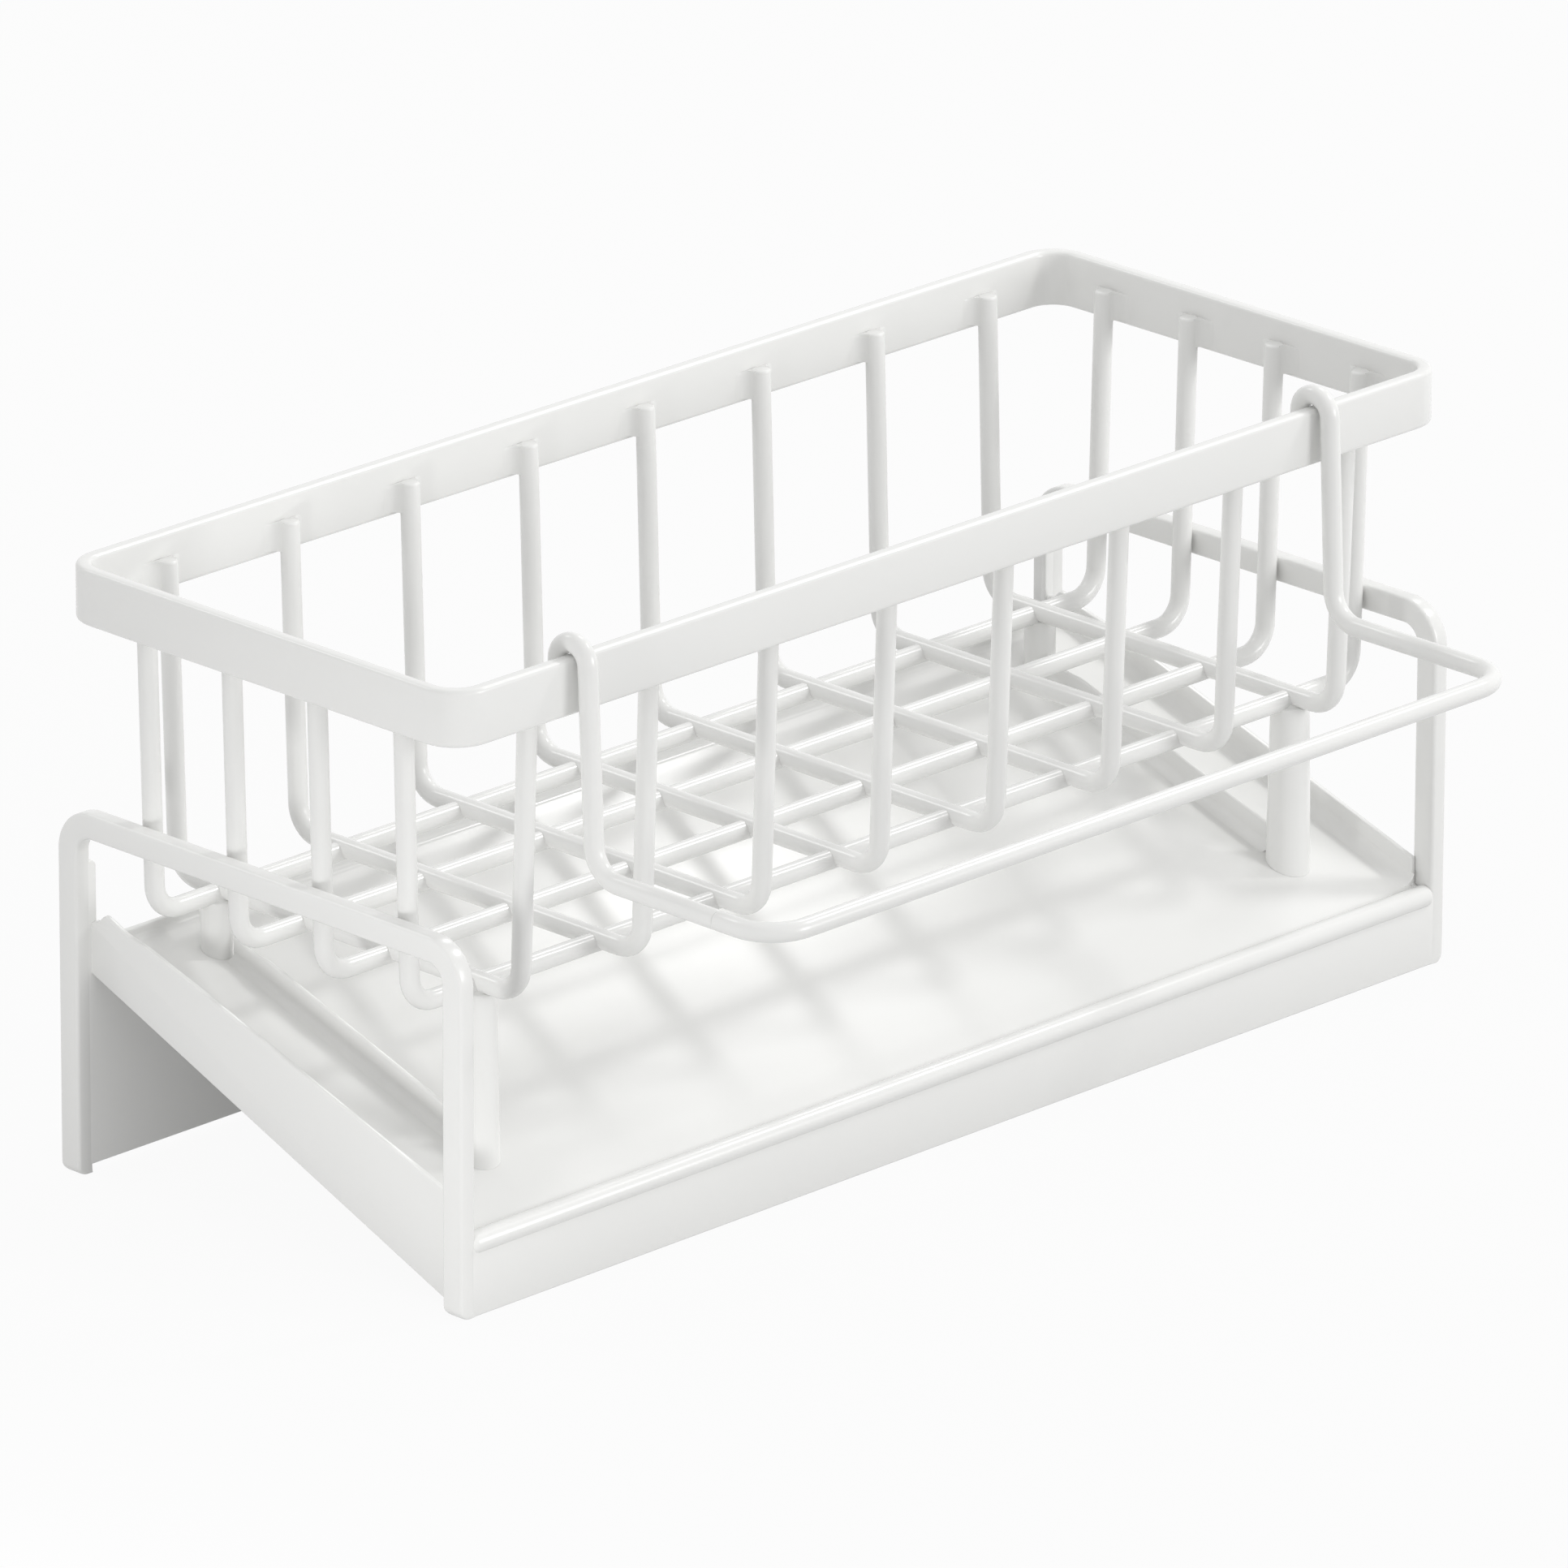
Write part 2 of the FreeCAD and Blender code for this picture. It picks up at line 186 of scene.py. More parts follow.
# %% Powder coat
PEEL_SIZE = 1.3 * MM
PEEL_HEIGHT = 0.02 * MM
PEEL_DETAIL = 1.5
PEEL_STRENGTH = 0.35
GRAIN_SIZE = 0.25 * MM
GRAIN_DETAIL = 2.0
GRAIN_IN_TONE = 0.3  # share of the grain in the tone, where the drift has the rest
GRAIN_IN_PEEL = 0.2  # share of the grain in the bumps, where the peel has the rest
GRAIN_IN_GLOSS = 0.08  # how far the grain moves the roughness
DRIFT_SIZE = 45 * MM
DRIFT_DETAIL = 2.0
COAT_PALE = (0.835, 0.835, 0.821, 1)
COAT_DEEP = (0.805, 0.805, 0.791, 1)
COAT_ROUGHNESS = 0.22
COAT_SPECULAR = 0.5
MIXED_COLOUR = 2  # which output of a Mix node gives the colour


def powder_coat(name):
    """Satin white paint with a faint orange peel."""
    material = empty_material(name)
    graph = Graph(material.node_tree)
    place = graph.node("ShaderNodeTexCoord", output="Object")

    def noise(size, detail):
        return graph.node("ShaderNodeTexNoise", sockets={
            "Vector": place, "Scale": 1 / size, "Detail": detail})

    peel = noise(PEEL_SIZE, PEEL_DETAIL)
    grain = noise(GRAIN_SIZE, GRAIN_DETAIL)
    drift = noise(DRIFT_SIZE, DRIFT_DETAIL)
    tone = drift * (1 - GRAIN_IN_TONE) + grain * GRAIN_IN_TONE
    relief = peel * (1 - GRAIN_IN_PEEL) + grain * GRAIN_IN_PEEL
    roughness = COAT_ROUGHNESS - GRAIN_IN_GLOSS / 2 + grain * GRAIN_IN_GLOSS
    colour = graph.node("ShaderNodeMix", {"data_type": "RGBA"}, {
        "Factor": tone, "A": COAT_PALE, "B": COAT_DEEP}, MIXED_COLOUR)
    bump = graph.node("ShaderNodeBump", sockets={
        "Height": relief, "Strength": PEEL_STRENGTH, "Distance": PEEL_HEIGHT})
    coat = graph.node("ShaderNodeBsdfPrincipled", sockets={
        "Base Color": colour, "Roughness": roughness, "Normal": bump, "Specular IOR Level": COAT_SPECULAR})
    graph.node("ShaderNodeOutputMaterial", sockets={"Surface": coat})
    return material


stand_paint = powder_coat("stand_paint")
basket_paint = powder_coat("basket_paint")
rail_paint = powder_coat("rail_paint")
print("paints:", stand_paint.name, basket_paint.name, rail_paint.name)

# %% [markdown]
# ## Bent bars from a path
# The rim, the wires, the towel rail and the end frames are all one idea: a straight bar bent at a
# few corners. So one Geometry Nodes tree makes them. It takes a path of straight runs, rounds each
# corner by the bend stored on that point, and sweeps a rectangle with rounded edges along it. With
# an edge radius of half its width the rectangle is a circle. The girth stored on a point narrows
# the bar there, which rounds its cut ends. The tree can also repeat the bar along a line.

# %% Tree for bent bars
SAME_POINT = 0.001 * MM  # points closer than this become one


def new_tree(name, inputs, result):
    """Geometry Nodes tree with its named inputs and one geometry output."""
    tree = bpy.data.node_groups.new(name, "GeometryNodeTree")
    for label, kind in inputs.items():
        tree.interface.new_socket(label, in_out="INPUT", socket_type="NodeSocket" + kind)
    tree.interface.new_socket(result, in_out="OUTPUT", socket_type="NodeSocketGeometry")
    entry = tree.nodes.new("NodeGroupInput")
    return tree, {label: Field(tree, entry.outputs[label]) for label in inputs}


def bar_tree():
    """Geometry Nodes tree that sweeps and repeats a bent bar."""
    tree, given = new_tree("bent bar", {
        "Path": "Geometry", "Width": "Float", "Height": "Float", "Edge Radius": "Float",
        "Edge Steps": "Int", "Bend Steps": "Int", "Count": "Int", "Spacing": "Vector",
        "Material": "Material"}, "Bars")
    graph = Graph(tree)
    bend = graph.node("GeometryNodeInputNamedAttribute", {"data_type": "FLOAT"}, {"Name": "bend"})
    girth = graph.node("GeometryNodeInputNamedAttribute", {"data_type": "FLOAT"}, {"Name": "girth"})
    runs = graph.node("GeometryNodeMeshToCurve", sockets={"Mesh": given["Path"]})
    path = graph.node("GeometryNodeFilletCurve", {"mode": "POLY"}, {
        "Curve": runs, "Count": given["Bend Steps"], "Radius": bend})
    square = graph.node("GeometryNodeCurvePrimitiveQuadrilateral", sockets={
        "Width": given["Width"], "Height": given["Height"]})
    section = graph.node("GeometryNodeFilletCurve", {"mode": "POLY"}, {
        "Curve": square, "Count": given["Edge Steps"], "Radius": given["Edge Radius"], "Limit Radius": True})
    bar = graph.node("GeometryNodeCurveToMesh", sockets={
        "Curve": path, "Profile Curve": section, "Scale": girth, "Fill Caps": True})
    joined = graph.node("GeometryNodeMergeByDistance", sockets={"Geometry": bar, "Distance": SAME_POINT})
    places = graph.node("GeometryNodeMeshLine", sockets={"Count": given["Count"], "Offset": given["Spacing"]})
    row = graph.node("GeometryNodeInstanceOnPoints", sockets={"Points": places, "Instance": joined})
    real = graph.node("GeometryNodeRealizeInstances", sockets={"Geometry": row})
    painted = graph.node("GeometryNodeSetMaterial", sockets={"Geometry": real, "Material": given["Material"]})
    graph.node("NodeGroupOutput", sockets={"Bars": painted})
    return tree


BAR_TREE = bar_tree()
print("tree inputs:", [item.name for item in BAR_TREE.interface.items_tree])

# %% [markdown]
# The finished pieces have no modifiers. So a maker carries the tree, what the tree makes
# is kept as a plain mesh, and the maker is removed. A finished piece is then tied to the body that
# it moves with, and the CAD nodes that it stands for are hidden.

# %% Plain meshes
SHARP_ANGLE = math.radians(38)


def plain_piece(name, maker):
    """What the maker shows as a plain mesh of its own, and the maker removed."""
    depsgraph = bpy.context.evaluated_depsgraph_get()
    mesh = bpy.data.meshes.new_from_object(maker.evaluated_get(depsgraph))
    bpy.data.objects.remove(maker)
    mesh.name = name
    mesh.polygons.foreach_set("use_smooth", [True] * len(mesh.polygons))
    mesh.set_sharp_from_angle(angle=SHARP_ANGLE)
    print(name, "triangles:", sum(len(face.vertices) - 2 for face in mesh.polygons))
    return add_object(name, mesh)


def run_tree(name, maker, tree, values):
    """Plain mesh of what a node tree makes, with the tree's inputs given by name."""
    modifier = maker.modifiers.new(tree.name, "NODES")
    modifier.node_group = tree
    for item in tree.interface.items_tree:
        if item.in_out == "INPUT" and item.name in values:
            modifier[item.identifier] = values[item.name]
    return plain_piece(name, maker)


def settle(piece, body, slot, *nodes):
    """Tie a finished piece to its body and hide the CAD nodes that it stands for; the slot is not used."""
    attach(piece, body)
    if nodes:
        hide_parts(*nodes)


print("edges sharper than", round(math.degrees(SHARP_ANGLE)), "degrees stay sharp")

# %% [markdown]
# A path is a mesh of loose edges whose points carry two numbers, bend and girth. The next cell makes
# such paths, with rounded ends where the bar is cut off, and runs the tree on them.

# %% Paths
END_STEPS = 4
BEND_STEPS = 10
EDGE_STEPS = 6


def path_object(points, closed=False):
    """Loose edges through (place, bend, girth) points."""
    count = len(points)
    edges = [(index, (index + 1) % count) for index in range(count if closed else count - 1)]
    places, bends, girths = zip(*points)
    mesh = bpy.data.meshes.new("path")
    mesh.from_pydata(places, edges, [])
    mesh.attributes.new("bend", "FLOAT", "POINT").data.foreach_set("value", bends)
    mesh.attributes.new("girth", "FLOAT", "POINT").data.foreach_set("value", girths)
    return add_object("path", mesh)


def quarter_turn(steps):
    """Angles from zero to a right angle, in equal steps."""
    return [math.pi / 2 * step / steps for step in range(steps + 1)]


def rounded_end(end, inner, half_width, rounding):
    """Points that narrow a bar towards its end, from the end inwards."""
    way = (inner - end).normalized()
    points = []
    for angle in quarter_turn(END_STEPS):
        depth = rounding * (1 - math.cos(angle))
        inset = rounding * (1 - math.sin(angle))
        points.append((end + way * depth, 0.0, 1 - inset / half_width))
    return points


def open_path(corners, bends, half_width, roundings):
    """Path with rounded ends through corner points, with one bend for each inner point."""
    first = rounded_end(corners[0], corners[1], half_width, roundings[0])
    last = rounded_end(corners[-1], corners[-2], half_width, roundings[1])
    inner = [(corner, bend, 1.0) for corner, bend in zip(corners[1:-1], bends)]
    return first + inner + last[::-1]


def bent_bars(name, points, width, height, edge, paint, closed=False, count=1, spacing=(0, 0, 0),
              bend_steps=BEND_STEPS, edge_steps=EDGE_STEPS):
    """Bars swept along a path and repeated, as one plain mesh."""
    return run_tree(name, path_object(points, closed), BAR_TREE, {
        "Width": width, "Height": height, "Edge Radius": edge, "Edge Steps": edge_steps,
        "Bend Steps": bend_steps, "Count": count, "Spacing": spacing, "Material": paint})


print("steps in an end, a bend and an edge:", END_STEPS, BEND_STEPS, EDGE_STEPS)

# %% [markdown]
# ## Rim
# The rim is a flat band on edge, bent to a rounded rectangle. Its path is closed and runs along the
# middle of the band, half a thickness inside the CAD box.

# %% Rim
BAND_THICKNESS = 2.8 * MM
BAND_EDGE = 0.8 * MM
RIM_CORNER = 7.5 * MM
RIM_BEND_STEPS = 16
FLAT_EDGE_STEPS = 4  # for the small edges of flat bars

rim_low, rim_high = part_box("rim_band")
half_band = BAND_THICKNESS / 2
band_middle = (rim_low.z + rim_high.z) / 2
rim_points = [(Vector((x, y, band_middle)), RIM_CORNER - half_band, 1.0)
              for x, y in ((rim_low.x + half_band, rim_low.y + half_band),
                           (rim_high.x - half_band, rim_low.y + half_band),
                           (rim_high.x - half_band, rim_high.y - half_band),
                           (rim_low.x + half_band, rim_high.y - half_band))]
rim = bent_bars("rim_band_visual", rim_points, BAND_THICKNESS, rim_high.z - rim_low.z, BAND_EDGE,
                basket_paint, closed=True, bend_steps=RIM_BEND_STEPS, edge_steps=FLAT_EDGE_STEPS)
settle(rim, "basket", "basket_paint", "rim_band")

# %% [markdown]
# ## Basket wires
# Each wire is a wide U whose sides lean out a little towards the rim. The wires of one set are the
# same, so one path is repeated along a line. The end of a wire is cut off square and its edge is
# softened by the paint.

# %% Basket wires
WIRE_DIAMETER = 3.6 * MM
WIRE_BEND = 5.5 * MM
WIRE_ROUNDING = 0.5 * MM
CROSS_LEAN = 1.9 * MM
LONG_LEAN = 1.5 * MM
CROSS_COUNT = 8
LONG_COUNT = 4
wire_radius = WIRE_DIAMETER / 2


def wire_row(name, stem, count, along, lean):
    """One set of U-shaped wires, repeated from the first node's place to the last one's."""
    first_low, first_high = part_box(f"{stem}_1")
    last_low, last_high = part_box(f"{stem}_{count}")
    middle = (first_low + first_high) / 2
    spacing = ((last_low + last_high) / 2 - middle) / (count - 1)
    top = (first_high - first_low).dot(along) / 2 - wire_radius
    level = first_low.z + wire_radius
    end = first_high.z - wire_radius * lean / (first_high.z - level)
    corners = []
    for reach, height in ((-top, end), (lean - top, level), (top - lean, level), (top, end)):
        corner = middle + along * reach
        corner.z = height
        corners.append(corner)
    points = open_path(corners, [WIRE_BEND] * 2, wire_radius, [WIRE_ROUNDING] * 2)
    row = bent_bars(name, points, WIRE_DIAMETER, WIRE_DIAMETER, wire_radius, basket_paint,
                    count=count, spacing=spacing)
    settle(row, "basket", "basket_paint", *[f"{stem}_{number}" for number in range(1, count + 1)])
    print(count, "wires,", round(spacing.length / MM, 2), "mm apart")


wire_row("cross_wires", "cross_wire", CROSS_COUNT, Vector((0, 1, 0)), CROSS_LEAN)
wire_row("long_wires", "long_wire", LONG_COUNT, Vector((1, 0, 0)), LONG_LEAN)

# %% [markdown]
# ## Welds
# Every wire end is welded to the inside of the rim, and the paint rounds the weld to a hollow
# fillet on both sides of the wire. One weld is modelled at the origin, with its back on the band.

# %% Weld shape
WELD_REACH = 4.6 * MM
WELD_STEPS = 6
WELD_DROP = 0.3 * MM  # how much lower a weld is at its toe
WELD_SETBACK = 0.05 * MM  # the weld's back lies this far inside the band
WELD_BELOW = 0.12 * MM  # how far below the end of its wire a weld stops
WELD_HOLLOW = (1.15, 0.1)  # what draws the flank hollow, sideways and inwards in wire radii
WELD_CREST = (0.95, 1.25)  # where the flank meets the wire, in wire radii
WELD_ENDS = ((0.0, 0.8), (0.08, 1.0), (0.85, 1.0), (0.96, 0.93), (1.0, 0.8))  # share of height, reach


def skin(form, rings):
    """Faces from ring to ring, and one over each end."""
    for below, above in zip(rings, rings[1:]):
        for index in range(len(below)):
            after = (index + 1) % len(below)
            form.faces.new((below[index], below[after], above[after], above[index]))
    form.faces.new(rings[0][::-1])
    form.faces.new(rings[-1])


def formed_object(name, form, paint=None):
    """Object with the mesh of a form, its faces turned outward."""
    bmesh.ops.recalc_face_normals(form, faces=form.faces)
    mesh = bpy.data.meshes.new(name)
    form.to_mesh(mesh)
    form.free()
    if paint:
        mesh.materials.append(paint)
    return add_object(name, mesh)


def weld_shape(height):
    """One hollow weld fillet as an object at the origin, facing along Y."""
    start = Vector((WELD_REACH, 0))
    hollow = Vector([wire_radius * share for share in WELD_HOLLOW])
    crest = Vector([wire_radius * share for share in WELD_CREST])
    section = [Vector((WELD_REACH, -WELD_SETBACK))]
    for step in range(WELD_STEPS + 1):
        share = step / WELD_STEPS
        section.append(start * (1 - share) ** 2 + hollow * 2 * share * (1 - share) + crest * share ** 2)
    section += [Vector((-point.x, point.y)) for point in section[::-1]]
    spread = WELD_REACH - wire_radius
    form = bmesh.new()
    rings = []
    for share, reach in WELD_ENDS:
        ring = []
        for point in section:
            toe = max(0.0, abs(point.x) - wire_radius) / spread
            x = math.copysign(wire_radius + toe * spread * reach, point.x) if toe > 0 else point.x
            ring.append(form.verts.new((x, point.y, height * share - WELD_DROP * toe * share)))
        rings.append(ring)
    skin(form, rings)
    return formed_object("weld", form)


weld_foot = rim_low.z + BAND_EDGE
weld_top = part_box("cross_wire_1")[1].z - WELD_BELOW
weld = weld_shape(weld_top - weld_foot)
print("weld in mm:", [round(size / MM, 2) for size in weld.dimensions])

# %% [markdown]
# Every wire ends on the band twice, so there are many welds of the same shape. A second tree puts a
# copy at each wire end and turns it to face into the basket.

# %% Welds at the wire ends
def weld_tree():
    """Geometry Nodes tree that puts a turned copy of an object on every point."""
    tree, given = new_tree("welds", {"Places": "Geometry", "Weld": "Object", "Material": "Material"}, "Welds")
    graph = Graph(tree)
    turn = graph.node("GeometryNodeInputNamedAttribute", {"data_type": "FLOAT"}, {"Name": "turn"})
    facing = graph.node("FunctionNodeAxisAngleToRotation", sockets={"Axis": (0, 0, 1), "Angle": turn})
    shape = graph.node("GeometryNodeObjectInfo", sockets={"Object": given["Weld"]}, output="Geometry")
    copies = graph.node("GeometryNodeInstanceOnPoints", sockets={
        "Points": given["Places"], "Instance": shape, "Rotation": facing})
    real = graph.node("GeometryNodeRealizeInstances", sockets={"Geometry": copies})
    painted = graph.node("GeometryNodeSetMaterial", sockets={"Geometry": real, "Material": given["Material"]})
    graph.node("NodeGroupOutput", sockets={"Welds": painted})
    return tree


WELD_TREE = weld_tree()
front_face = rim_low.y + BAND_THICKNESS
rear_face = rim_high.y - BAND_THICKNESS
left_face = rim_low.x + BAND_THICKNESS
right_face = rim_high.x - BAND_THICKNESS
places = []
turns = []
for number in range(1, CROSS_COUNT + 1):
    low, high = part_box(f"cross_wire_{number}")
    x = (low.x + high.x) / 2
    places += [(x, front_face, weld_foot), (x, rear_face, weld_foot)]
    turns += [0.0, math.pi]
for number in range(1, LONG_COUNT + 1):
    low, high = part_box(f"long_wire_{number}")
    y = (low.y + high.y) / 2
    places += [(left_face, y, weld_foot), (right_face, y, weld_foot)]
    turns += [-math.pi / 2, math.pi / 2]

weld_mesh = bpy.data.meshes.new("weld places")
weld_mesh.from_pydata(places, [], [])
weld_mesh.attributes.new("turn", "FLOAT", "POINT").data.foreach_set("value", turns)
weld_places = add_object("weld places", weld_mesh)
welds = run_tree("rim_welds", weld_places, WELD_TREE, {"Weld": weld, "Material": basket_paint})
bpy.data.objects.remove(weld)
settle(welds, "basket", "basket_paint")
print("welds:", len(places))

# %% [markdown]
# ## Towel rail
# The rail is one more bent rod, hooked over the front of the rim. It was bent from two lengths and
# the butt joint still shows as a fine line in the left arm, so it is made in two lengths here too.

# %% Towel rail
RAIL_DIAMETER = 3.6 * MM
RAIL_BEND = 6.0 * MM
RAIL_CORNER = 8.0 * MM
RAIL_LEAN = 1.9 * MM
HOOK_TAIL = 8.0 * MM  # top of the rim down to the free end of a hook
HOOK_CLEARANCE = 0.35 * MM
TAIL_ROUNDING = 0.6 * MM
SEAM_ROUNDING = 0.25 * MM
HOOK_SETTLE = 0.3 * MM  # the hooks rest closer to the rim than the CAD clearance

rail_radius = RAIL_DIAMETER / 2
hook_low, hook_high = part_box("rail_left_hook")
bar_low, bar_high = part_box("rail_bar")
apex = hook_high.z - rail_radius - HOOK_SETTLE
arm = hook_low.z + rail_radius
tail_end = rim_high.z - HOOK_TAIL
y_tail = hook_high.y - rail_radius
y_drop = rim_low.y - HOOK_CLEARANCE - rail_radius
y_arm = y_drop - RAIL_LEAN
y_bar = bar_low.y + rail_radius
y_seam = hook_low.y
hook_bend = (y_tail - y_drop) / 2
drop_bend = hook_bend / math.tan(math.pi / 4 - math.atan2(RAIL_LEAN, apex - arm) / 2)
hook_bends = [hook_bend, drop_bend, RAIL_BEND]


def hook_corners(x):
    """Corner points of a hook, from its free end down to the arm."""
    return [Vector((x, y_tail, tail_end)), Vector((x, y_tail, apex)),
            Vector((x, y_drop, apex)), Vector((x, y_arm, arm))]


rail_left = (hook_low.x + hook_high.x) / 2
rail_right = bar_high.x - rail_radius
seam = Vector((rail_left, y_seam, arm))
rail_ends = [TAIL_ROUNDING, SEAM_ROUNDING]
hook_path = open_path(hook_corners(rail_left) + [seam], hook_bends, rail_radius, rail_ends)
bar_corners = [Vector((rail_right, y_bar, arm)), Vector((rail_left, y_bar, arm)), seam]
bar_path = open_path(hook_corners(rail_right) + bar_corners,
                     hook_bends + [RAIL_CORNER] * 2, rail_radius, rail_ends)
left_hook = bent_bars("left_hook", hook_path, RAIL_DIAMETER, RAIL_DIAMETER, rail_radius, rail_paint)
settle(left_hook, "rail", "rail_paint", "rail_left_hook")
towel_bar = bent_bars("towel_bar", bar_path, RAIL_DIAMETER, RAIL_DIAMETER, rail_radius, rail_paint)
settle(towel_bar, "rail", "rail_paint", "rail_bar")

# %% [markdown]
# ## End frames
# Each end of the stand is a flat bar bent to an upside-down U. Both come from one path, repeated
# across the stand. The cut ends stand on the counter, with their outer corners ground round.

# %% End frames
BAR_WIDTH = 4.8 * MM
BAR_THICKNESS = 3.5 * MM
BAR_EDGE = 0.7 * MM
FRAME_CORNER = 8.2 * MM
FOOT_ROUNDING = 1.7 * MM
FOOT_STEPS = 6
FRAME_BEND_STEPS = 14

right_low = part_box("right_end_frame")[0]
half_bar = BAR_WIDTH / 2
frame_x = (frame_low.x + frame_high.x) / 2
frame_front = frame_low.y + half_bar
frame_rear = frame_high.y - half_bar
frame_top = frame_high.z - half_bar
foot_levels = [FOOT_ROUNDING * (1 - math.cos(angle)) for angle in quarter_turn(FOOT_STEPS)]
leg_points = [(Vector((frame_x, frame_front, level)), 0.0, 1.0) for level in foot_levels]
crown = [(Vector((frame_x, y, frame_top)), FRAME_CORNER - half_bar, 1.0) for y in (frame_front, frame_rear)]
rear_points = [(Vector((frame_x, frame_rear, level)), 0.0, 1.0) for level in foot_levels[::-1]]
frames = bent_bars("end_frames", leg_points + crown + rear_points, BAR_THICKNESS, BAR_WIDTH, BAR_EDGE,
                   stand_paint, count=2, spacing=(right_low.x - frame_low.x, 0, 0),
                   bend_steps=FRAME_BEND_STEPS, edge_steps=FLAT_EDGE_STEPS)


def round_feet(mesh):
    """Draw the ends of the legs in, away from the apron and the rear panel."""
    inner = abs(frame_high.x)
    for point in mesh.vertices:
        if point.co.z < FOOT_ROUNDING:
            level = 1 - point.co.z / FOOT_ROUNDING
            inset = FOOT_ROUNDING * (1 - math.sqrt(1 - level ** 2))
            side = math.copysign(1, point.co.x)
            squeeze = (BAR_THICKNESS - inset) / BAR_THICKNESS
            point.co.x = side * (inner + (abs(point.co.x) - inner) * squeeze)
            fixed = frame_low.y if point.co.y < stand_middle.y else frame_high.y - BAR_WIDTH
            point.co.y = fixed + (point.co.y - fixed) * (BAR_WIDTH - inset) / BAR_WIDTH


round_feet(frames.data)
settle(frames, "stand", "stand_paint", "left_end_frame", "right_end_frame")
print("end frames", round((right_low.x - frame_low.x) / MM, 2), "mm apart")

# %% [markdown]
# ## Sheet pieces
# The tray is folded and welded from sheet. A sheet is an outline given a thickness, and a Bevel
# modifier breaks its edges so that they catch a fine line of light.

# %% Sheet pieces
SHEET_EDGE = 0.3 * MM
SHEET_EDGE_STEPS = 3
BEVEL_ANGLE = math.radians(40)  # only edges sharper than this are broken


def sheet_piece(name, outline, sweep, paint, edge=SHEET_EDGE):
    """Plain mesh of a sheet from its outline in space, its thickness vector and its broken edge."""
    form = bmesh.new()
    face = form.faces.new([form.verts.new(corner) for corner in outline])
    swept = bmesh.ops.extrude_face_region(form, geom=[face])["geom"]
    moved = [item for item in swept if isinstance(item, bmesh.types.BMVert)]
    bmesh.ops.translate(form, vec=sweep, verts=moved)
    sheet = formed_object(name, form, paint)
    bevel = sheet.modifiers.new("edges", "BEVEL")
    bevel.width = edge
    bevel.segments = SHEET_EDGE_STEPS
    bevel.limit_method = "ANGLE"
    bevel.angle_limit = BEVEL_ANGLE
    return plain_piece(name, sheet)


def smooth_line(knots, steps):
    """Curve through (place, height) knots, eased from one to the next."""
    line = []
    for (start, low), (end, high) in zip(knots, knots[1:]):
        for step in range(steps):
            share = step / steps
            ease = share * share * (3 - 2 * share)
            line.append((start + (end - start) * share, low + (high - low) * ease))
    return line + [knots[-1]]


print("sheet edges are rounded by", round(SHEET_EDGE / MM, 2), "mm")

# %% [markdown]
# The tray floor slopes down to the front. Its rear edge is bent up to a low lip, so that drips run
# forward only. Its slope and the height of its front edge are named here, because the walls, the
# fins and the posts follow them. Its width and its rear edge come from the CAD node.

# %% Tray floor
SHEET_THICKNESS = 1.2 * MM
TRAY_SLOPE = math.tan(math.radians(18.4))
FLOOR_FRONT = 13.9 * MM
LIP_BEND = 1.0 * MM
LIP_STEPS = 5

floor_low, floor_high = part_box("tray_floor")
apron_rear = frame_low.y + SHEET_THICKNESS
lip_rear = floor_high.y
lip_front = lip_rear - SHEET_THICKNESS


def floor_height(y):
    """Height of the tray floor's top face."""
    return FLOOR_FRONT + (y - apron_rear) * TRAY_SLOPE


sheet_drop = SHEET_THICKNESS / math.cos(math.atan(TRAY_SLOPE))
bend_arc = []
for angle in quarter_turn(LIP_STEPS):
    y = lip_front - LIP_BEND * (1 - math.sin(angle))
    bend_arc.append((y, floor_height(y) + LIP_BEND * (1 - math.cos(angle))))
floor_outline = [(apron_rear, FLOOR_FRONT)] + bend_arc
floor_outline += [(lip_front, floor_high.z), (lip_rear, floor_high.z),
                  (lip_rear, floor_height(lip_rear) - sheet_drop), (apron_rear, FLOOR_FRONT - sheet_drop)]
tray_floor = sheet_piece("tray_floor_sheet", [(floor_low.x, y, z) for y, z in floor_outline],
                         Vector((floor_high.x - floor_low.x, 0, 0)), stand_paint)
settle(tray_floor, "stand", "stand_paint", "tray_floor")
print("the floor rises", round((floor_height(lip_front) - FLOOR_FRONT) / MM, 1), "mm to its lip")

# %% [markdown]
# The side walls rise a little above the floor and hang below it as a skirt. Near the rear leg the
# upper edge dips, rises to a small hump and falls to the ear of the rear panel. In front, the part
# above the floor stops at the leg and the skirt runs on to the apron.

# %% Side walls
WALL_HEIGHT = 5.2 * MM
SKIRT_LIFT = 1.2 * MM
SKIRT_FLAT = 6.8 * MM
SKIRT_REAR = 8.2 * MM
WALL_TUCK = 0.4 * MM  # how far the wall's rear end runs into the ear
WALL_LAP = 0.8 * MM  # how far the part above the floor runs on beside the leg
WALL_TOP_STEPS = 6
# distances in front of the rear panel, with heights over the straight line of the wall's top
HUMP = ((0.0, -3.7), (1.2, -2.9), (3.8, -0.5), (8.3, -0.8), (16.0, -0.25), (30.0, 0.0))

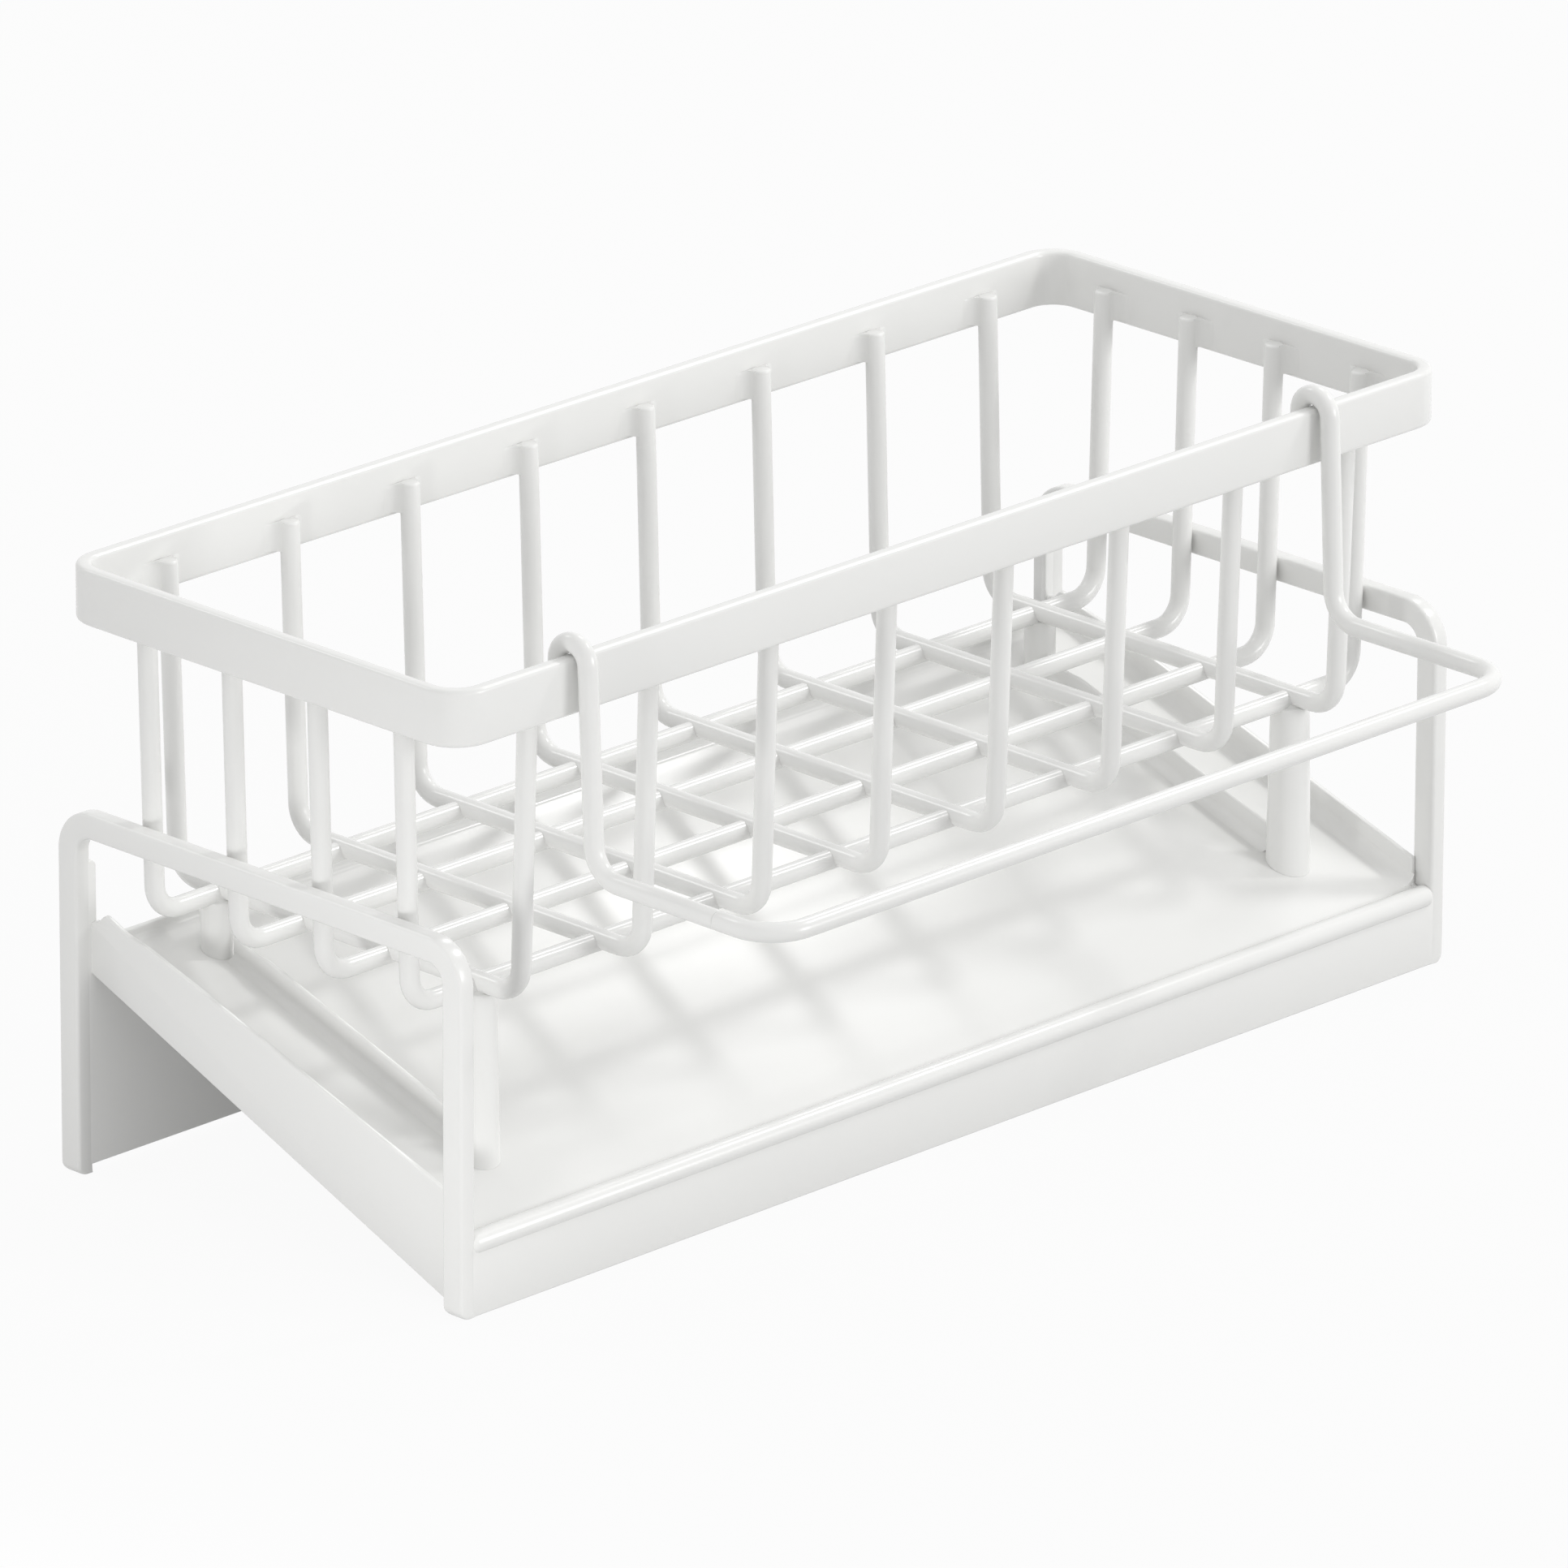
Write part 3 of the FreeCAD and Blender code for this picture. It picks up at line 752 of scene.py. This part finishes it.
panel_low, panel_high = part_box("rear_panel")
wall_front = frame_low.y + BAR_WIDTH - WALL_LAP
for name in ("left_side_wall", "right_side_wall"):
    wall_low, wall_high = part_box(name)
    wall_rear = wall_high.y + WALL_TUCK
    knots = [(wall_high.y - back * MM, rise * MM) for back, rise in HUMP]
    top = [(y, floor_height(y) + WALL_HEIGHT + rise) for y, rise in smooth_line(knots, WALL_TOP_STEPS)]
    top = [(wall_rear, top[0][1])] + top[1:]
    outline = [(wall_low.y, SKIRT_LIFT), (wall_low.y + SKIRT_FLAT, SKIRT_LIFT),
               (wall_rear, floor_height(wall_rear) - SKIRT_REAR)] + top
    outline += [(wall_front, floor_height(wall_front) + WALL_HEIGHT),
                (wall_front, floor_height(wall_front)), (wall_low.y, floor_height(wall_low.y))]
    wall = sheet_piece(f"{name}_sheet", [(wall_low.x, y, z) for y, z in outline],
                       Vector((wall_high.x - wall_low.x, 0, 0)), stand_paint)
    settle(wall, "stand", "stand_paint", name)

# %% [markdown]
# The rear panel is an upright sheet with two narrow ears that run up along the rear legs. It is
# welded flush and painted over, so it runs a little into the legs and shows no joint.

# %% Rear panel
EAR_WIDTH = 1.4 * MM
EAR_RADIUS = 1.35 * MM
LAP = 1.2 * MM  # how far a flush sheet runs into a leg
FLUSH = 0.02 * MM  # it lies this little behind the leg's face
PANEL_DROP = 1.7 * MM
PANEL_EDGE = 0.25 * MM
EAR_STEPS = 5

panel_top = floor_height(lip_front) - PANEL_DROP
notch = panel_high.x - EAR_WIDTH
shoulder = [(notch + EAR_RADIUS * (1 - math.cos(angle)), panel_high.z - EAR_RADIUS * (1 - math.sin(angle)))
            for angle in quarter_turn(EAR_STEPS)]
sheet_end = panel_high.x + LAP
half_outline = [(sheet_end, panel_low.z), (sheet_end, panel_high.z)] + shoulder[::-1] + [(notch, panel_top)]
panel_outline = half_outline + [(-x, z) for x, z in half_outline[::-1]]
rear_panel = sheet_piece("rear_panel_sheet", [(x, panel_low.y + FLUSH, z) for x, z in panel_outline],
                         Vector((0, panel_high.y - panel_low.y - FLUSH, 0)), stand_paint, PANEL_EDGE)
settle(rear_panel, "stand", "stand_paint", "rear_panel")

# %% [markdown]
# The apron closes the front between the legs and lies flush with them, so its sheet runs into the
# rounded inner edges of the legs and the paint shows no joint. A bead along its top stiffens it and
# laps onto both legs with rounded ends.

# %% Front apron
BEAD_DIAMETER = 4.2 * MM
BEAD_END = 1.6 * MM

apron_low, apron_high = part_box("front_apron")
bead_radius = BEAD_DIAMETER / 2
bead_level = apron_high.z - bead_radius
bead_y = apron_low.y + bead_radius
apron_outline = [(-sheet_end, 0), (sheet_end, 0), (sheet_end, bead_level), (-sheet_end, bead_level)]
apron = sheet_piece("front_apron_sheet", [(x, frame_low.y + FLUSH, z) for x, z in apron_outline],
                    Vector((0, SHEET_THICKNESS - FLUSH, 0)), stand_paint)
settle(apron, "stand", "stand_paint", "front_apron")
bead_corners = [Vector((apron_low.x, bead_y, bead_level)), Vector((0, bead_y, bead_level)),
                Vector((apron_high.x, bead_y, bead_level))]
bead_path = open_path(bead_corners, [0.0], bead_radius, [BEAD_END] * 2)
bead = bent_bars("apron_bead", bead_path, BEAD_DIAMETER, BEAD_DIAMETER, bead_radius, stand_paint)
settle(bead, "stand", "stand_paint")

# %% [markdown]
# Two low fins on the floor keep the basket's posts in line. Their upper edge dips just in front of
# the rear post.

# %% Locating fins
FIN_HEIGHT = 4.9 * MM
FIN_EDGE = 0.4 * MM  # the paint rounds the thin upper edge almost fully
FIN_DIP = ((0.0, 0.0), (4.0, -0.8), (9.0, 0.0))  # distance in front of the rear end, height
FIN_TOP_STEPS = 5

for name in ("left_locating_fin", "right_locating_fin"):
    fin_low, fin_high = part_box(name)
    knots = [(fin_high.y - back * MM, rise * MM) for back, rise in FIN_DIP]
    top = [(y, floor_height(y) + FIN_HEIGHT + rise) for y, rise in smooth_line(knots, FIN_TOP_STEPS)]
    outline = [(fin_low.y, floor_height(fin_low.y)), (fin_high.y, floor_height(fin_high.y))] + top
    outline += [(fin_low.y, floor_height(fin_low.y) + FIN_HEIGHT)]
    fin = sheet_piece(f"{name}_sheet", [(fin_low.x, y, z) for y, z in outline],
                      Vector((fin_high.x - fin_low.x, 0, 0)), stand_paint, FIN_EDGE)
    settle(fin, "stand", "stand_paint", name)

# %% [markdown]
# Where a sheet stands on the floor, weld and paint fill the corner with a hollow fillet, called a
# cove. Each cove is a short section swept along the corner.

# %% Coves
WALL_COVE = 2.4 * MM
FIN_COVE = 1.8 * MM
COVE_STEPS = 16
COVE_SINK = 0.1 * MM  # how far a cove runs into the faces that it joins


def cove(form, start, end, outward, upward, radius):
    """Hollow fillet along a corner, between a face that runs outward and one that runs upward."""
    section = [(outward + upward) * -COVE_SINK, outward * radius - upward * COVE_SINK]
    for angle in quarter_turn(COVE_STEPS):
        section.append(outward * radius * (1 - math.sin(angle)) + upward * radius * (1 - math.cos(angle)))
    section.append(upward * radius - outward * COVE_SINK)
    skin(form, [[form.verts.new(place + point) for point in section] for place in (start, end)])


form = bmesh.new()
floor_up = Vector((0, -TRAY_SLOPE, 1)).normalized()
for side in (-1, 1):
    inward = Vector((-side, 0, 0))
    wall_x = side * floor_high.x
    cove(form, Vector((wall_x, wall_front, floor_height(wall_front))),
         Vector((wall_x, lip_front, floor_height(lip_front))), inward, floor_up, WALL_COVE)
    fin_low, fin_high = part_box("left_locating_fin" if side < 0 else "right_locating_fin")
    for fin_x, outward in ((fin_low.x, Vector((-1, 0, 0))), (fin_high.x, Vector((1, 0, 0)))):
        cove(form, Vector((fin_x, fin_low.y, floor_height(fin_low.y))),
             Vector((fin_x, fin_high.y, floor_height(fin_high.y))), outward, floor_up, FIN_COVE)
coves = plain_piece("tray_coves", formed_object("coves", form, stand_paint))
settle(coves, "stand", "stand_paint")

# %% [markdown]
# ## Posts
# Four round posts carry the basket. Each is cut at its foot to the slope of the floor, and the
# front ones widen towards it. The upper edge is softened, and a low mound of weld joins the post to
# the crossing of the wires.

# %% Posts
POST_SIDES = 40
POST_EDGE = 0.5 * MM
POST_EDGE_STEPS = 4
SEAT = 0.03 * MM  # a post stands this little above the floor
FRONT_POST_NARROWING = 0.5 * MM  # how much smaller the radius of a front post is at its top
MOUND = ((0.62, 0.45), (0.36, 1.3))  # share of the radius, height in millimetres


def post_piece(name, narrowing):
    """Round post from the slope of the floor up to the crossing of the wires."""
    low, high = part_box(name)
    middle = (low + high) / 2
    radius = (high.x - low.x) / 2
    form = bmesh.new()
    rings = []

    def ring(width, level=None):
        """One ring of points, on the slope of the floor if it has no level of its own."""
        points = []
        for side in range(POST_SIDES):
            angle = math.tau * side / POST_SIDES
            x = middle.x + width * math.cos(angle)
            y = middle.y + width * math.sin(angle)
            z = floor_height(y) + SEAT if level is None else level
            points.append(form.verts.new((x, y, z)))
        rings.append(points)

    top_radius = radius - narrowing
    ring(radius)
    for angle in quarter_turn(POST_EDGE_STEPS):
        ring(top_radius - POST_EDGE * (1 - math.cos(angle)), high.z - POST_EDGE * (1 - math.sin(angle)))
    for share, rise in MOUND:
        ring(top_radius * share, high.z + rise * MM)
    skin(form, rings)
    return plain_piece(f"{name}_rod", formed_object(name, form, basket_paint))


for name in ("front_left_post", "front_right_post"):
    settle(post_piece(name, FRONT_POST_NARROWING), "basket", "basket_paint", name)
for name in ("rear_left_post", "rear_right_post"):
    settle(post_piece(name, 0.0), "basket", "basket_paint", name)

# %% [markdown]
# ## Light
# The photograph is a soft studio shot on white. Most light comes from all round. Two lamps high on
# the right, one towards the front and one towards the rear, draw the faint shadow of the grid on the
# tray and leave the left sides of the wires a little darker. A low lamp in front and a small one on
# the left lift the upright sheets, and one behind lights the tops of the wires. No lamp shows itself
# to the camera. The small one stays out of the gloss too, where it would draw hard lines on the
# wires. The world is white where the camera sees it, and only its light is held back.

# %% Light
WORLD_LEVEL = 0.725
# name, place in metres from the middle of the stand, diameter in metres, watts, whether gloss shows it
LAMPS = (("front_lamp", Vector((1.27, -0.52, 1.46)), 0.26, 7.4, True),
         ("rear_lamp", Vector((1.26, 0.54, 1.45)), 0.32, 2.6, True),
         ("low_lamp", Vector((0.75, -1.8, 0.5)), 0.8, 11.5, True),
         ("back_lamp", Vector((-0.3, 1.25, 1.5)), 0.5, 3.4, True),
         ("side_lamp", Vector((-0.33, -0.1, 0.024)), 0.048, 0.175, False))
WHITE = (1, 1, 1, 1)


def seen_directly(graph):
    """1 for what the camera sees, straight or in gloss or glass, and 0 for light that falls on things."""
    path = graph.node("ShaderNodeLightPath", output="Is Camera Ray")
    gloss = graph.node("ShaderNodeLightPath", output="Is Glossy Ray")
    glass = graph.node("ShaderNodeLightPath", output="Is Transmission Ray")
    return graph.node("ShaderNodeClamp", sockets={"Value": path + gloss + glass})


world = bpy.data.worlds.new("studio")
bpy.context.scene.world = world
world.use_nodes = True
world.node_tree.nodes.clear()
graph = Graph(world.node_tree)
seen = seen_directly(graph)
strength = seen + (1 - seen) * WORLD_LEVEL
sky = graph.node("ShaderNodeBackground", sockets={"Color": WHITE, "Strength": strength})
graph.node("ShaderNodeOutputWorld", sockets={"Surface": sky})

for name, place, size, watts, in_gloss in LAMPS:
    lamp = add_object(name, bpy.data.lights.new(name, "AREA"))
    lamp.data.shape = "DISK"
    lamp.data.size = size
    lamp.data.energy = watts
    lamp.visible_camera = False
    lamp.visible_glossy = in_gloss
    lamp.location = stand_middle + place
    lamp.rotation_euler = place.to_track_quat("Z", "Y").to_euler()
    print(name, "stands", round(place.length, 2), "m away")

# %% [markdown]
# ## Ground
# The caddy stands on a plain ground that runs on out of the picture. It is white to the camera and
# in gloss, and still takes a little shadow. It throws back less light than white paper would, which
# keeps the lower sides of wires and sheets as dark as the photograph has them.

# %% Ground
GROUND_GREY = (0.5, 0.5, 0.5, 1)
GROUND_SIZE = 30.0  # metres
GROUND_WHITE = 0.94  # how much of the ground's look is plain white to the camera

paper = empty_material("white_ground")
graph = Graph(paper.node_tree)
matt = graph.node("ShaderNodeBsdfDiffuse", sockets={"Color": GROUND_GREY})
glow = graph.node("ShaderNodeEmission", sockets={"Color": WHITE, "Strength": 1.0})
seen = seen_directly(graph)
ground_look = graph.node("ShaderNodeMixShader", sockets={0: seen * GROUND_WHITE, 1: matt, 2: glow})
graph.node("ShaderNodeOutputMaterial", sockets={"Surface": ground_look})

half_ground = GROUND_SIZE / 2
ground_corners = [(-half_ground, -half_ground, 0), (half_ground, -half_ground, 0),
                  (half_ground, half_ground, 0), (-half_ground, half_ground, 0)]
ground_mesh = bpy.data.meshes.new("ground")
ground_mesh.from_pydata(ground_corners, [], [(0, 1, 2, 3)])
ground_mesh.materials.append(paper)
ground = add_object("ground", ground_mesh)
ground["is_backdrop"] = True
bpy.context.scene.view_settings.view_transform = "Standard"
print("ground:", GROUND_SIZE, "m wide")

# %% [markdown]
# ## Finish
# Every CAD node takes the paint of its body as well, so that none is left bare. At the end the
# box around the dressed caddy is measured.

# %% Finish
PAINTS = {"stand": stand_paint, "basket": basket_paint, "rail": rail_paint}
for body, nodes in frame["record"]["behaviour"]["bodies"].items():
    for node in nodes:
        mesh = bpy.data.objects[node].data
        mesh.materials.clear()
        mesh.materials.append(PAINTS[body])
    print(body, "nodes painted:", len(nodes))

low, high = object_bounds()
